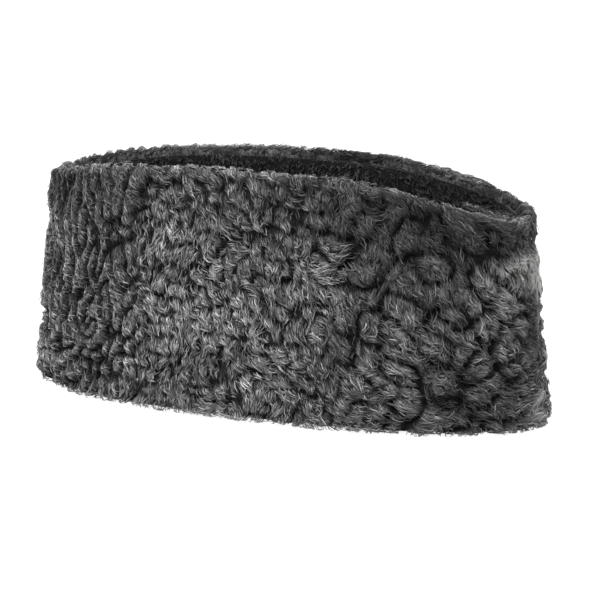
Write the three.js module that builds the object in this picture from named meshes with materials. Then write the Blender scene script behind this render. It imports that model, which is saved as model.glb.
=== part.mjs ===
// A fold-flat cap of curled lamb pelt, standing half open. Two side panels meet in seams at the
// front and the back, and a crown panel hangs between their ridges as a long valley.
// Millimetres, +Z up, +X towards the front, +Y towards the wearer's left.

import * as THREE from 'three';
import { mergeVertices } from 'three/addons/utils/BufferGeometryUtils.js';

// Outside sizes, over the curls
const hemLength = 266;
const hemWidth = 98;
const ridgeLength = 242.5;
const ridgeWidth = 65.5;
const capHeight = 117;
const ridgeDropFront = 18.7;
const ridgeDropBack = 11.7;
// 2 lets the ridge fall evenly towards its ends, and more keeps it level for longer
const ridgeDropPower = 2.4;
const sideBulge = 2.2;

// How square the two ovals are: 2 is an ellipse, and more has fuller corners
const hemSquareness = 2.25;
const ridgeSquareness = 3.3;
// How much wider an oval is at the front than at its middle, as a share
const hemFlare = -0.09;
const ridgeFlare = 0.09;

// Pelt with its pile, and the crown's valley
const sideThickness = 7;
const crownThickness = 5;
const crownInset = 1.5;
const valleyDepth = 48;
const valleyShelfFront = 24;
const valleyShelfBack = 7;
const valleyEndPower = 3;
const seamGap = 0.4;

// Curls stand this much above the grooves between them. The relief is lower by the share
// ridgeCalm at the ridge, which fades down the side with the power calmPower, and a groove keeps
// the share grooveFill of it.
const sideRelief = 3.4;
const crownRelief = 1.8;
const ridgeCalm = 0.45;
const calmPower = 4;
const grooveFill = 0.3;
const hemRounding = 1.6;

// Curls on a side panel from the back seam to the front seam: the stretch's share of the panel,
// how many stand side by side there, how many lie one above another up its height, and how far
// a curl leans over its width, as a share of its length
const curlStretches = [
  { share: 0.27, across: 10, stacked: 3.5, lean: 0.06 },
  { share: 0.35, across: 10, stacked: 6, lean: 0.3 },
  { share: 0.38, across: 7, stacked: 5, lean: 0.5 },
];
const crownCurls = { around: 15, down: 2.5 };
const scatterStep = 12.9898;
const scatterScale = 43758.5453;

// How finely the solids are faceted
const columnsPerCurl = 3;
const outerRows = 16;
const ridgeArcSteps = 4;
const innerRows = 3;
const crownColumns = 38;
const crownRows = 6;
const trackSteps = 720;
const fallStep = 0.02;
const mergeDistance = 1e-3;

const pelt = new THREE.MeshStandardMaterial({ color: 0x4b4b4d, roughness: 0.95, metalness: 0 });
const crownPelt = new THREE.MeshStandardMaterial({ color: 0x414143, roughness: 0.95, metalness: 0 });

// A point of an oval, whose half width grows towards the front by the share flare
function ovalPoint(angle, length, width, squareness, flare) {
  const c = Math.cos(angle);
  const s = Math.sin(angle);
  const reach = (Math.abs(c) ** squareness + Math.abs(s) ** squareness) ** (-1 / squareness);
  return new THREE.Vector2((length / 2) * reach * c, (width / 2) * reach * s * (1 + flare * reach * c));
}

// Height of the middle of the ridge's rounded top, at a share from -1 at the back to 1 in front
function ridgeHeight(share) {
  const drop = share > 0 ? ridgeDropFront : ridgeDropBack;
  return capHeight - sideThickness / 2 - drop * Math.abs(share) ** ridgeDropPower;
}

// The side's outer face over the curls, from the hem at rise 0 to the ridge at rise 1
function sidePoint(angle, rise) {
  const hem = ovalPoint(angle, hemLength, hemWidth, hemSquareness, hemFlare);
  const ridge = ovalPoint(angle, ridgeLength, ridgeWidth, ridgeSquareness, ridgeFlare);
  const height = rise * ridgeHeight(ridge.x / (ridgeLength / 2));
  const plan = hem.lerp(ridge, rise);
  plan.setLength(plan.length() + sideBulge * 4 * rise * (1 - rise));
  return new THREE.Vector3(plan.x, plan.y, height);
}

// The level direction that faces out of the side
function outward(angle, rise) {
  const step = Math.PI / trackSteps;
  const along = sidePoint(angle + step, rise).sub(sidePoint(angle - step, rise));
  return new THREE.Vector3(along.y, -along.x, 0).normalize();
}

// Angles from 0 at the back seam to pi at the front seam, evenly far apart along the side
const sideTrack = (() => {
  const track = [{ turn: 0, length: 0 }];
  let last = sidePoint(Math.PI, 0.5);
  for (let i = 1; i <= trackSteps; i++) {
    const turn = (Math.PI * i) / trackSteps;
    const next = sidePoint(Math.PI + turn, 0.5);
    track.push({ turn, length: track[i - 1].length + next.distanceTo(last) });
    last = next;
  }
  return track;
})();

function turnAtShare(share) {
  const wanted = share * sideTrack[trackSteps].length;
  const passed = sideTrack.filter((point) => point.length <= wanted).length;
  const after = Math.min(Math.max(passed, 1), trackSteps);
  const [a, b] = [sideTrack[after - 1], sideTrack[after]];
  return THREE.MathUtils.lerp(a.turn, b.turn, (wanted - a.length) / (b.length - a.length));
}

// One closed solid from loose triangles, without those that close up when their corners meet
function solidGeometry(triangles) {
  const loose = new THREE.BufferGeometry().setFromPoints(triangles.flat());
  const merged = mergeVertices(loose, mergeDistance);
  const index = [];
  for (let i = 0; i < merged.index.count; i += 3) {
    const corners = [0, 1, 2].map((k) => merged.index.getX(i + k));
    if (new Set(corners).size === 3) index.push(...corners);
  }
  merged.setIndex(index);
  merged.computeVertexNormals();
  return merged;
}

function quad(a, b, c, d) {
  return [[a, b, c], [a, c, d]];
}

// An uneven but steady share from 0 to 1 for the curl with this number
function scatter(number) {
  const spread = Math.sin(number * scatterStep) * scatterScale;
  return spread - Math.floor(spread);
}

// Height of a curl along its length, from 0 where it meets the next one to 1 at its middle
function curlSwell(along) {
  return Math.sin(Math.PI * along) ** 2;
}

// The columns of a side panel from back to front. Each curl is a groove and then its crest.
function curlColumns(firstCurl) {
  const columns = [];
  let start = 0;
  let curl = firstCurl;
  for (const { share, across, stacked, lean } of curlStretches) {
    for (let i = 0; i < across; i++, curl++) {
      for (let k = 0; k < columnsPerCurl; k++) {
        const turn = turnAtShare(start + (share * (i + k / columnsPerCurl)) / across);
        const offset = scatter(curl) + (lean * k) / columnsPerCurl;
        columns.push({ turn, fill: k > 0 ? 1 : grooveFill, stacked, offset });
      }
    }
    start += share;
  }
  columns.push({ ...columns[0], turn: Math.PI });
  return columns;
}

// How far the outer face lies inside the curls' crests
function sideInset(column, rise) {
  const height = column.fill * curlSwell(rise * column.stacked + column.offset);
  const rounding = rise === 0 ? hemRounding : 0;
  return rounding + sideRelief * (1 - height) * (1 - ridgeCalm * rise ** calmPower);
}

// The closed outline of a side panel's section: up the outer face, over the ridge, down inside
function sideSection(angle, column) {
  const loop = [];
  for (let i = 0; i < outerRows; i++) {
    const rise = i / outerRows;
    loop.push(sidePoint(angle, rise).addScaledVector(outward(angle, rise), -sideInset(column, rise)));
  }
  const top = outward(angle, 1);
  const centre = sidePoint(angle, 1).addScaledVector(top, -sideThickness / 2);
  for (let i = 0; i <= ridgeArcSteps; i++) {
    const tilt = (Math.PI * i) / ridgeArcSteps;
    const inset = sideInset(column, 1) * Math.cos(tilt / 2) ** 2;
    const point = centre.clone().addScaledVector(top, (sideThickness / 2 - inset) * Math.cos(tilt));
    point.z += (sideThickness / 2 - inset) * Math.sin(tilt);
    loop.push(point);
  }
  for (let i = innerRows - 1; i >= 0; i--) {
    const rise = i / innerRows;
    loop.push(sidePoint(angle, rise).addScaledVector(outward(angle, rise), -sideThickness));
  }
  return loop;
}

// One side panel: side 1 is the wearer's left, and -1 the right
function sidePanel(name, side, firstCurl) {
  const columns = curlColumns(firstCurl);
  if (side > 0) columns.reverse();
  const sections = columns.map((column) => sideSection(Math.PI - side * column.turn, column));
  const triangles = [];
  for (let i = 0; i + 1 < sections.length; i++) {
    const [near, far] = [sections[i], sections[i + 1]];
    for (let j = 0; j < near.length; j++) {
      const next = (j + 1) % near.length;
      triangles.push(...quad(near[j], far[j], far[next], near[next]));
    }
  }
  triangles.push(...seamFace(sections[0], side), ...seamFace(sections.at(-1), side));
  const panel = new THREE.Mesh(solidGeometry(triangles), pelt);
  panel.name = name;
  panel.position.y = (side * seamGap) / 2;
  return panel;
}

// The flat end of a panel, which faces the other panel across a seam
function seamFace(section, side) {
  const outline = section.map((point) => new THREE.Vector2(point.x, point.z));
  return THREE.ShapeUtils.triangulateShape(outline, []).map((corners) => {
    const [a, b, c] = corners.map((k) => section[k]);
    const normal = b.clone().sub(a).cross(c.clone().sub(a));
    return normal.y * side < 0 ? [a, b, c] : [c, b, a];
  });
}

// The crown's edge runs inside the side panels, just under their rounded ridge
function crownEdge(angle) {
  const edge = sidePoint(angle, 1);
  edge.addScaledVector(outward(angle, 1), -(sideThickness + seamGap));
  edge.z -= crownInset;
  return edge;
}

// The valley's floor line under an edge point, level with the ridge at both of its ends
function valleyFloor(edge) {
  const end = Math.abs(crownEdge(edge.x > 0 ? 0 : Math.PI).x);
  const shelf = edge.x > 0 ? valleyShelfFront : valleyShelfBack;
  const share = edge.x / end;
  const x = edge.x * (1 - shelf / end);
  const level = ridgeHeight(x / (ridgeLength / 2)) - crownInset;
  return new THREE.Vector3(x, 0, level - valleyDepth * (1 - Math.abs(share) ** valleyEndPower));
}

// The crown's upper face from its edge at fall 0 to the valley's floor at fall 1
function crownPoint(angle, fall) {
  const edge = crownEdge(angle);
  const floor = valleyFloor(edge);
  const point = edge.clone().lerp(floor, fall);
  const slope = (fall + THREE.MathUtils.smoothstep(fall, 0, 1)) / 2;
  point.z = THREE.MathUtils.lerp(edge.z, floor.z, slope);
  return point;
}

// The direction through the crown's thickness: upright at its edge and floor, square between
function crownDown(angle, fall) {
  const step = Math.PI / trackSteps;
  const along = crownPoint(angle + step, fall).sub(crownPoint(angle - step, fall));
  const across = crownPoint(angle, fall + fallStep).sub(crownPoint(angle, fall - fallStep));
  const square = along.cross(across).normalize();
  if (square.z > 0) square.negate();
  const upright = new THREE.Vector3(0, 0, -1);
  return upright.lerp(square, Math.sin(Math.PI * fall)).normalize();
}

// How far the crown's upper face lies below its curls' crests. It is smooth at the valley's ends.
function crownInsetAt(angle, fall, around) {
  const lane = Math.floor(around);
  const height = curlSwell(fall * crownCurls.down + scatter(lane)) * curlSwell(around - lane);
  const spread = Math.abs(crownEdge(angle).y) / (ridgeWidth / 2);
  return crownRelief * (1 - height) * Math.sin(Math.PI * fall) * spread ** 2;
}

function crownPanel(name) {
  const angles = [];
  for (let i = 0; i < crownColumns; i++) angles.push(Math.PI + turnAtShare(i / crownColumns));
  for (let i = crownColumns; i > 0; i--) angles.push(Math.PI - turnAtShare(i / crownColumns));
  const upper = [];
  const lower = [];
  angles.forEach((angle, i) => {
    upper.push([]);
    lower.push([]);
    for (let j = 0; j <= crownRows; j++) {
      const fall = j / crownRows;
      const point = crownPoint(angle, fall);
      const down = crownDown(angle, fall);
      const inset = crownInsetAt(angle, fall, (crownCurls.around * i) / crownColumns);
      lower[i].push(point.clone().addScaledVector(down, crownThickness));
      upper[i].push(point.addScaledVector(down, inset));
    }
  });
  const triangles = [];
  for (let i = 0; i < angles.length; i++) {
    const k = (i + 1) % angles.length;
    for (let j = 0; j < crownRows; j++) {
      triangles.push(...quad(upper[i][j], upper[k][j], upper[k][j + 1], upper[i][j + 1]));
      triangles.push(...quad(lower[i][j], lower[i][j + 1], lower[k][j + 1], lower[k][j]));
    }
    triangles.push(...quad(upper[i][0], lower[i][0], lower[k][0], upper[k][0]));
  }
  const crown = new THREE.Mesh(solidGeometry(triangles), crownPelt);
  crown.name = name;
  return crown;
}

const cap = new THREE.Group();
cap.add(sidePanel('right_side_panel', -1, 0));
cap.add(sidePanel('left_side_panel', 1, 40));
cap.add(crownPanel('crown_panel'));

export default cap;
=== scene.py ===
import math
from collections import namedtuple

import bpy
import numpy as np
from bpy.props import FloatProperty, FloatVectorProperty, IntProperty, PointerProperty
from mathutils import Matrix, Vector


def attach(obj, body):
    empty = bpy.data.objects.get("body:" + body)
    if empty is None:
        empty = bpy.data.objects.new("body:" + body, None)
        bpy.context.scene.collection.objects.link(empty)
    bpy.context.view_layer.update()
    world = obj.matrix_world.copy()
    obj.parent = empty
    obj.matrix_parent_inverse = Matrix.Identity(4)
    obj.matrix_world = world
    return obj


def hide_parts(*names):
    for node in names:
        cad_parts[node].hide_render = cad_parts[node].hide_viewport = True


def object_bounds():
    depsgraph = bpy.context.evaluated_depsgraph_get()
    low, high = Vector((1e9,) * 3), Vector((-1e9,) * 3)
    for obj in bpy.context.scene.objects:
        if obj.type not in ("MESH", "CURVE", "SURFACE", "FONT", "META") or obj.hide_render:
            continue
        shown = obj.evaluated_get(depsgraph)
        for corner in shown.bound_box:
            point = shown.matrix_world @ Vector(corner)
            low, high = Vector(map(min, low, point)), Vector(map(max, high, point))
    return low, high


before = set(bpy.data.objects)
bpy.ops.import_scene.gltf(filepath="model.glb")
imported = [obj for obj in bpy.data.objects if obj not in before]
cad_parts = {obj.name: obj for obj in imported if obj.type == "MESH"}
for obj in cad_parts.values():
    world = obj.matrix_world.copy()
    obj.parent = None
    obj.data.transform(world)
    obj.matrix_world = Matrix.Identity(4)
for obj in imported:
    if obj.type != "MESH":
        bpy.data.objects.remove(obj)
cad_low, cad_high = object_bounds()
cad_size = cad_high - cad_low

bl_info = {
    "name": "Karakul Cap",
    "version": (1, 0, 0),
    "blender": (4, 5, 0),
    "location": "View3D > Sidebar > Karakul",
    "description": "Dresses the fold-flat lamb pelt cap with its curled fleece",
    "category": "Object",
}

MM = 0.001
RIGHT, LEFT = -1, 1


def smooth(value):
    value = np.clip(value, 0, 1)
    return value * value * (3 - 2 * value)


class Fade(namedtuple("Fade", "start run amount")):
    """A change that sets in smoothly at its start and is there in full after its run."""

    def at(self, value):
        return self.amount * smooth((value - self.start) / self.run)


# The cap's shape. How the ridge and the hem run round: 2 is an ellipse, and more has fuller
# corners. The flare is how much wider the oval is at the front than at its middle.
HEM_SQUARENESS, HEM_FLARE = 2.25, -0.03
RIDGE_SQUARENESS, RIDGE_FLARE = 3.3, 0.09
# How late the ridge drops towards its ends, and how late the valley's floor rises there
RIDGE_DROP_POWER, VALLEY_END_POWER = 2.4, 3
# Down each side of the valley, along the crown's chart
CROWN_DEPTH = 52 * MM
# The way round the cap is measured in so many steps, from this far before one seam to as far past
# the other
TRACK_STEPS, TRACK_OVERRUN = 1500, 0.25

# The fleece of one stretch of a panel, from the back seam to the front seam, in mm and degrees.
# until: the share of the panel where the stretch ends.
# roll, run and rise: the width, length and height of the rolls that the wool lies in. round: 0.5
# leaves narrow creases between them, and more leaves wide hollows. groove: how much painted shade
# darkens the wool down there, as a share. bare: no strand lies lower than this share of a roll's
# height. even: how far the creases are filled at the ridge. cross: the way across the rolls, from
# the panel's length, and spread: how far it strays.
# gap: between two locks' middles. long, wide and high: a lock's size. hug: how far it is drawn up
# onto a roll, in mm. flow: the way that it points, and turn: how far that swings from place to
# place. stray: from lock to lock. bend: how far a lock turns from its root to its tip. mottle: how
# much lighter and darker the wool is from place to place, and light: how bright it is on the whole.
Stretch = namedtuple("Stretch", "until roll run rise round groove bare even cross spread"
                     " gap long wide high hug flow turn stray bend mottle light")
SIDE_STRETCHES = (
    Stretch(0.27, 5.6, 17, 4.8, 0.75, 0.9, 0.26, 0.1, 0, 10,
            1.5, 7.0, 1.5, 0.4, 0.9, -50, 22, 20, 60, 0.1, 1.02),
    Stretch(0.62, 7.5, 11, 2.6, 0.6, 0.5, 0.26, 0.3, 35, 45,
            4.0, 10.0, 5.2, 1.9, 0.5, -58, 62, 18, 100, 0.14, 1.36),
    Stretch(1.0, 11.0, 12, 3.4, 0.72, 0.6, 0.24, 0.3, 60, 50,
            4.2, 12.0, 5.2, 1.8, 0.3, -50, 95, 18, 130, 0.2, 0.72),
)
CROWN_STRETCHES = (
    Stretch(1.0, 9.0, 12, 1.8, 0.7, 0.6, 0, 0, 40, 50,
            3.0, 8.0, 3.4, 1.2, 0.3, 78, 45, 20, 60, 0.2, 1),
)
# One stretch gives way to the next over this share of the panel, and in brightness over the
# second one. The border wanders, and towards the front it leans back at the top by the lean.
BLEND, LIGHT_BLEND = 0.12, 0.4
BORDER_PITCH, BORDER_REACH = 14 * MM, 11 * MM
LEAN, LEAN_FADE = 0.32, Fade(0.3, 0.3, 1)
# The ribs at the back end after this share of the panel. Low down they break up: their way across
# strays further by so many degrees, over the fade's run.
RIBS_END = Fade(0.12, 0.3, 1)
RIB_BREAK, RIB_BREAK_LEVEL = Fade(0, 20 * MM, 24), 70 * MM
# Down in the valley the locks stand further apart
THIN_FADE, THIN_LEVEL = Fade(0, 12 * MM, 0.8), 20 * MM

# How fast the locks' way changes over a panel, in large swings and small ones, and their shares
DRIFT_PITCH, DRIFT_SHARE = 26 * MM, 0.75
RIPPLE_PITCH, RIPPLE_SHARE = 12 * MM, 0.35
# The same for how the locks bend, and for the wool's tone
CURL_PITCH, CURL_REACH = 18 * MM, 1.6
TONE_PITCH = 24 * MM
# Knots of such a field beyond each edge of a chart, and how far short of its last row it is read
FIELD_MARGIN, FIELD_END = 3, 1.001

# Places by the front seam where the wool is combed one way: how far back from the seam, how high
# up, how far they spread along and up, how pale the wool is there, and the way that it points.
# Two are tufts of pale wool that lie over the seam, one is a paler corner by the hem, and the last
# on the right, by the ridge, is only combed.
Tuft = namedtuple("Tuft", "back level along up pale way")
RIGHT_TUFTS = (Tuft(9, 79, 15, 4, 1.3, -2), Tuft(-5, 70, 5, 12, 1.3, -80),
               Tuft(9, 9, 11, 8, 0.3, 35), Tuft(24, 106, 26, 11, 0, -6))
LEFT_TUFTS = (Tuft(0, 74, 9, 10, 0.65, -70),)
# What changes in the wool of a tuft, as a share
TUFT_CHANGES = {"bend": -0.75, "long": 0.5, "wide": -0.3, "gap": -0.25, "stray": -0.6, "rise": -0.4}

# The rolls are short trains of waves: how thickly these are strewn, how wide and long a train is
# for a roll's width and length, how far out it is drawn, how much its pitch varies, and the height
# of the sum that counts as a crest
TRAIN_COVER, TRAIN_WIDE, TRAIN_LONG, TRAIN_REACH = 2.6, 1.1, 0.8, 2.2
TRAIN_PITCHES = (0.85, 1.25)
CREST_LEVEL = 1.25
# The rolls sink by half at a seam, and even out at the ridge. The fleece thins as it turns over.
SEAM_SINK, SEAM_FADE = 0.5, Fade(0, 1.8 * MM, 0.5)
EVEN_FADE = Fade(-5 * MM, 8 * MM, 1)
BRIM_EASE = Fade(-5 * MM, 7 * MM, -0.5)

# Locks. How many places are tried, how much their gaps vary, and how far they may stand over a
# seam or the chart's top. Only wool paler than the tuft's edge may hang over the front seam.
LOCK_TRIES = 40000
LOCK_GAPS, LOCK_SIZES = (0.8, 1.15), (0.75, 1.25)
SEAM_OVERHANG, TUFT_OVERHANG, TOP_OVERHANG = 0.5 * MM, 9 * MM, 1 * MM
TUFT_EDGE = 0.4
# A side's locks go this far past the ridge's start
RIDGE_REACH = 9 * MM
# They climb the rolls in so many steps, and stop where these are flatter than this
CLIMB_STEPS, CLIMB_FLAT = 8, 0.02
# How much a lock's bend varies, and at most
BEND_STRAY, BEND_MOST = 0.5, 1.3
# Strands in a thousand that lie loose in threes, how long and wide these threes are, and how far
# their way and their bend stray
LOOSE_PER_THOUSAND, LOOSE_THREE = 180, 3
LOOSE_LONG, LOOSE_WIDE = (4, 8), (0.6, 1.8)
LOOSE_STRAY, LOOSE_BEND = 32, 60
# The curls that hang over the hem: the gap between two, how high they sit, their sizes, the way
# that they point and how far it strays, and how far they bend
HEM_CURL_GAP, HEM_CURL_SHIFT = 1.7 * MM, 1 * MM
HEM_CURL_LEVEL, HEM_CURL_LONG, HEM_CURL_WIDE = (1.2, 2.6), (3.5, 6.5), (1.2, 2.2)
HEM_CURL_WAY, HEM_CURL_STRAY, HEM_CURL_BEND = -80, 35, (80, 200)
# How low the side's own strands and the hem's curls may come on the chart, in mm, and how gently
# they stop there. No point of a strand lies lower over the ground than the clearance.
HEM_LOWEST, CURL_LOWEST, HEM_SOFTNESS = (0.4, 2.2), 0.2, 0.3 * MM
LEAST_CLEARANCE = 0.3 * MM

# Strands. Points along each, and the steps that a lock's own line is drawn in
STRAND_POINTS, LOCK_STEPS = 4, 16
# A lock turns late, and its middle keeps its way. A strand takes this share of its lock's length.
TURN_POWER, TURN_MIDDLE = 1.4, 0.4
STRAND_SPANS = (0.4, 0.68)
FEWEST_STRANDS = 3
# Strands gather in wisps towards the tip: wisps to each half of a lock, how loosely, how much
WISPS, WISP_STRAY, WISP_DRAW = 2, 0.08, 0.55
# A lock narrows to its tip
ROOT_WIDTH, TIP_FADE = 1.2, Fade(0.1, 0.9, -0.85)
# Each strand bows and waves for itself, as a share of its length
BOW, WAVE = 0.09, 0.05
# A lock rises from its root, sinks at its tip, and is domed across
ROOT_RISE, TIP_SINK, DOME = 0.55, Fade(0.75, 0.25, -0.25), 0.55
ROOT_DEPTH, ROOT_FADE = 0.6 * MM, 0.25
LAYER_HEIGHT = 0.35 * MM
# A few strands stand up everywhere, and more of them at the ridge, which is lumpy too
FLYAWAY, FLYAWAY_POWER = 1.6 * MM, 9
RIDGE_FADE = Fade(-2 * MM, 4 * MM, 1)
RIDGE_FLYAWAY, RIDGE_FLYAWAY_POWER = 2.6 * MM, 3
RIDGE_LUMP, RIDGE_LUMP_BASE = 1.1 * MM, 0.3
# Painted shade on a strand: dark root, lit tip, darker at a lock's edge and in the lower layer
ROOT_PAINTED_SHADE, TIP_PAINTED_LIGHT = 0.38, Fade(0, 0.85, 0.62)
LOCK_EDGE_PAINTED_SHADE, DOME_PAINTED_LIGHT = 0.75, 0.25
LAYER_PAINTED_SHADE, LAYER_VARIES = 0.82, 0.18
# A strand is thick along its length but for its ends, and a little flat
TAPER_SLOPE, TAPER_ROOT, TAPER_LEAST = 2.2, 0.15, 0.12
STRAND_CORNERS, STRAND_FLATNESS = (90, 210, 330), 0.8
STRAND_WIDTHS = (0.6, 1.3)
# On its map, a strand is this wide and keeps this far from the edges
MAP_WIDTH, MAP_EDGE = 0.02, 0.02
# No piece has more faces than this
MOST_FACES = 195000

# The creases are bare, less so by the seams and beyond the ridge
BARE_VARIES = (0.6, 1.2)
BARE_SEAM, BARE_RIDGE = Fade(0, 14 * MM, 1), Fade(0, 4 * MM, -0.8)
# Tufts are brighter and swell, the more so over the seam, and so does the middle of the hem
TUFT_BRIGHT, TUFT_SWELL, SEAM_SWELL = 0.35, 0.9, Fade(-3 * MM, 4 * MM, 1.8)
HEM_SWELL, HEM_MIDDLE, HEM_HEIGHT = 1.6 * MM, Fade(0, 60 * MM, 1), Fade(0, 6 * MM, 1)
HEM_CURL_BRIGHT = 0.1
# A strand's shade: most are like this one, locks differ, single strands are lighter, and there is
# a lightest grey and a palest wool
SHADE, LOCK_VARIES, STRAND_LIGHTER, LIGHTER_POWER = 0.31, 0.06, 0.5, 2.5
LIGHTEST_GREY, PALEST = 0.84, 0.97

# Darker wool towards the ridge; painted highlight on its top; painted shade by hem and inner face
TOWARDS_RIDGE, RIDGE_TOP_HIGHLIGHT = Fade(-32 * MM, 26 * MM, -0.38), Fade(2 * MM, 3 * MM, 0.34)
HEM_PAINTED_SHADE, HEM_SHADE_FADE = 0.16, Fade(0, 14 * MM, 1)
INNER_FACE_SHADE, INNER_WANDER = Fade(5.6 * MM, 3.2 * MM, -0.9), 1.5 * MM
# How much light reaches the valley's edge, its wall and its depth, and the shelf at its front end
VALLEY_EDGE, VALLEY_WALL = 0.2, Fade(-1.5 * MM, 5 * MM, -0.17)
VALLEY_DEEP, VALLEY_FRONT = Fade(8 * MM, 10 * MM, 0.06), Fade(-44 * MM, 32 * MM, 0.4)

# The pelts themselves: rows of the inner face, and how much of the rolls' height the skin follows
INNER_ROWS, SIDE_RELIEF, CROWN_RELIEF = 14, 0.9, 0.85
# Their depth under the strands fades at the ridge's far edge, over the ridge and by the seams
PELT_CALM, PELT_FILL = Fade(0, 4 * MM, 1), Fade(-3 * MM, 5 * MM, -0.4)
PELT_SEAM, PELT_SEAM_LEAST = Fade(0, 12 * MM, 0.4), 0.6
# Below this level the outer face is tucked in by so much. The inner face ends just off the ground.
HEM_TUCK_LEVEL, HEM_TUCK, INNER_HEM = 1 * MM, 1 * MM, 0.1 * MM
# The crown's rows on each face, its columns' pitch as a share of the net's, and how its depth
# fades at its edge and at the valley's floor
CROWN_ROWS_UP, CROWN_ROWS_UNDER, CROWN_COLUMN_PITCH = 30, 10, 1.2
CROWN_EDGE_FADE, CROWN_FLOOR_FADE = Fade(0, 5 * MM, 1), Fade(0, 4 * MM, 1)
# The painted shade of a plain inner face, on the scale where a crease is 0 and a crest 1
PLAIN_PAINTED_SHADE = 0.5
# Points nearer than this are one, and edges sharper than this angle stay sharp
MERGE_DISTANCE, SMOOTH_ANGLE = 0.01 * MM, 60

# The view: degrees round from the right side and above the ground, and metres away
VIEW_TURN, VIEW_RISE, VIEW_DISTANCE = 21.6, 17.3, 1.2
# The picture's middle looks this far beside and above the hem's middle, and its scale
AIM_RIGHT, AIM_UP = 6.7 * MM, 45.7 * MM
PICTURE_WIDTH, PIXELS_PER_METRE, SENSOR = 600, 2040, 36
FLOOR_SIZE, FLOOR_GLOW, SKY_GLOW = 16, 0.92, 0.3
# Each light's name, place, size and power
LIGHTS = (
    ("key light", (-0.5, -1.0, 1.5), 1.1, 88),
    ("fill light", (1.6, 0.0, 0.8), 1.0, 42),
    ("back light", (-0.3, 1.5, 1.0), 1.2, 55),
)


class CapSizes(bpy.types.PropertyGroup):
    """The cap's own shape."""

    hem_length: FloatProperty(name="Hem length", description="Outside, from back to front",
                              default=cad_size.x + 1.2 * MM, unit="LENGTH")
    hem_width: FloatProperty(name="Hem width", description="Outside, from side to side",
                             default=cad_size.y + 2 * MM, unit="LENGTH")
    ridge_length: FloatProperty(name="Ridge length", description="Outside, at the top",
                                default=242.5 * MM, unit="LENGTH")
    ridge_width: FloatProperty(name="Ridge width", description="Outside, at the top",
                               default=65.5 * MM, unit="LENGTH")
    height: FloatProperty(name="Height", description="At the middle of the ridge",
                          default=cad_size.z, unit="LENGTH")
    drop_front: FloatProperty(name="Front drop", description="How much lower the ridge is in front",
                              default=18.7 * MM, unit="LENGTH")
    drop_back: FloatProperty(name="Back drop", description="How much lower the ridge is behind",
                             default=11.7 * MM, unit="LENGTH")
    bulge: FloatProperty(name="Bulge", description="How far a side swells half way up",
                         default=2.2 * MM, unit="LENGTH")
    side_thickness: FloatProperty(name="Side thickness", description="Skin and pile together",
                                  default=7 * MM, unit="LENGTH")
    crown_thickness: FloatProperty(name="Crown thickness", description="Skin and pile together",
                                   default=5 * MM, unit="LENGTH")
    crown_inset: FloatProperty(name="Crown inset", description="The crown's edge below the ridge",
                               default=1.5 * MM, unit="LENGTH")
    valley_depth: FloatProperty(name="Valley depth", description="Of the fold in the crown",
                                default=48 * MM, unit="LENGTH")
    shelf_front: FloatProperty(name="Front shelf", description="Where the valley closes in front",
                               default=24 * MM, unit="LENGTH")
    shelf_back: FloatProperty(name="Back shelf", description="Where the valley closes behind",
                              default=7 * MM, unit="LENGTH")
    seam_gap: FloatProperty(name="Seam gap", description="Between two panels, drawn tight",
                            default=0.02 * MM, unit="LENGTH")


class FurSizes(bpy.types.PropertyGroup):
    """The fleece."""

    strand_width: FloatProperty(name="Strand width", description="Of a strand at its middle",
                                default=0.46 * MM, unit="LENGTH")
    density: FloatProperty(name="Density", description="Strands on a square millimetre of a lock",
                           default=0.42)
    net_pitch: FloatProperty(name="Net pitch", description="Mesh size of the pelt's own surface",
                             default=1.5 * MM, unit="LENGTH")
    side_pile: FloatProperty(name="Side pile", description="Depth of the grooves on the sides",
                             default=4.8 * MM, unit="LENGTH")
    crown_pile: FloatProperty(name="Crown pile", description="Depth of the grooves on the crown",
                              default=2.2 * MM, unit="LENGTH")
    right_strands: IntProperty(name="Right strands", description="On the right side panel",
                               default=36000)
    left_strands: IntProperty(name="Left strands", description="On the left side panel",
                              default=24000)
    crown_strands: IntProperty(name="Crown strands", description="On the crown", default=12000)
    right_breadth: FloatProperty(name="Right breadth", description="Of its strands, as a share",
                                 default=1)
    left_breadth: FloatProperty(name="Left breadth", description="Of its strands, as a share",
                                default=1.2)
    crown_breadth: FloatProperty(name="Crown breadth", description="Of its strands, as a share",
                                 default=1.15)
    hem_lift: FloatProperty(name="Hem lift", description="Of the skin's outer edge off the ground",
                            default=1.4 * MM, unit="LENGTH")
    seed: IntProperty(name="Seed", description="Another number gives other curls", default=3)


class CapColours(bpy.types.PropertyGroup):
    """Colours of the fleece and the ground."""

    dark: FloatVectorProperty(name="Dark wool", description="The darkest strands", subtype="COLOR",
                              default=(0.014, 0.014, 0.015))
    mid: FloatVectorProperty(name="Grey wool", description="Most strands", subtype="COLOR",
                             default=(0.105, 0.105, 0.108))
    light: FloatVectorProperty(name="Light wool", description="The lightest of the grey strands",
                               subtype="COLOR", default=(0.34, 0.34, 0.345))
    pale: FloatVectorProperty(name="Pale wool", description="The pale tufts", subtype="COLOR",
                              default=(0.3, 0.296, 0.286))
    ground: FloatVectorProperty(name="Ground", description="The floor", subtype="COLOR",
                                default=(0.08, 0.08, 0.08))


def oval(angle, length, width, squareness, flare):
    c, s = np.cos(angle), np.sin(angle)
    reach = (np.abs(c) ** squareness + np.abs(s) ** squareness) ** (-1 / squareness)
    return length / 2 * reach * c, width / 2 * reach * s * (1 + flare * reach * c)


def ridge_height(cap, x):
    """Height of the middle of the ridge's rounded top."""
    share = x / (cap.ridge_length / 2)
    drop = np.where(share > 0, cap.drop_front, cap.drop_back)
    return cap.height - cap.side_thickness / 2 - drop * np.abs(share) ** RIDGE_DROP_POWER


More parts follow.
